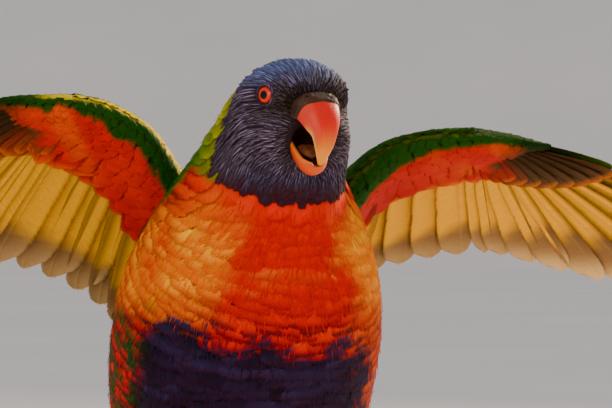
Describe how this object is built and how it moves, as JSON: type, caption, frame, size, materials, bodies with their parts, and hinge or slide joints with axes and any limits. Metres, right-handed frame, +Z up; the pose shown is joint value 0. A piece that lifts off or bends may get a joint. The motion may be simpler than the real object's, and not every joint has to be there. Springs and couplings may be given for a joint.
{
  "type": "rainbow lorikeet, life-size still model",
  "caption": "Life-size still model of a rainbow lorikeet standing with wings raised and spread, head turned a little to its left and bill open.",
  "frame": {"origin": "on the floor under the middle of the whole outline", "axes": "-Y the way the bird faces, +X its left side, +Z up"},
  "size_m": [0.3572, 0.2242, 0.158],
  "materials": {
    "head_feathers": "soft matt feathers, violet blue with paler shafts",
    "breast_feathers": "soft matt feathers, red orange with dark edges",
    "wing_feathers": "matt feathers, green above, red and yellow below",
    "tail_feathers": "matt feathers, green above, yellow green below",
    "leg_feathers": "short soft feathers, green and yellow",
    "bill_horn": "smooth horn with a soft shine",
    "cere_skin": "bare brown skin",
    "mouth_skin": "moist brown tongue",
    "eye": "wet and glossy, orange red iris",
    "foot_scales": "dry grey scales, dark horn claws"
  },
  "bodies": {
    "root": {"head": "head_feathers", "neck": "head_feathers", "torso": "breast_feathers", "eye_right": "eye", "eye_left": "eye", "cere": "cere_skin", "upper_bill": "bill_horn", "lower_bill": "bill_horn", "tongue": "mouth_skin", "wing_right": "wing_feathers", "wing_left": "wing_feathers", "tail": "tail_feathers", "thigh_right": "leg_feathers", "thigh_left": "leg_feathers", "foot_right": "foot_scales", "foot_left": "foot_scales"}
  },
  "joints": []
}
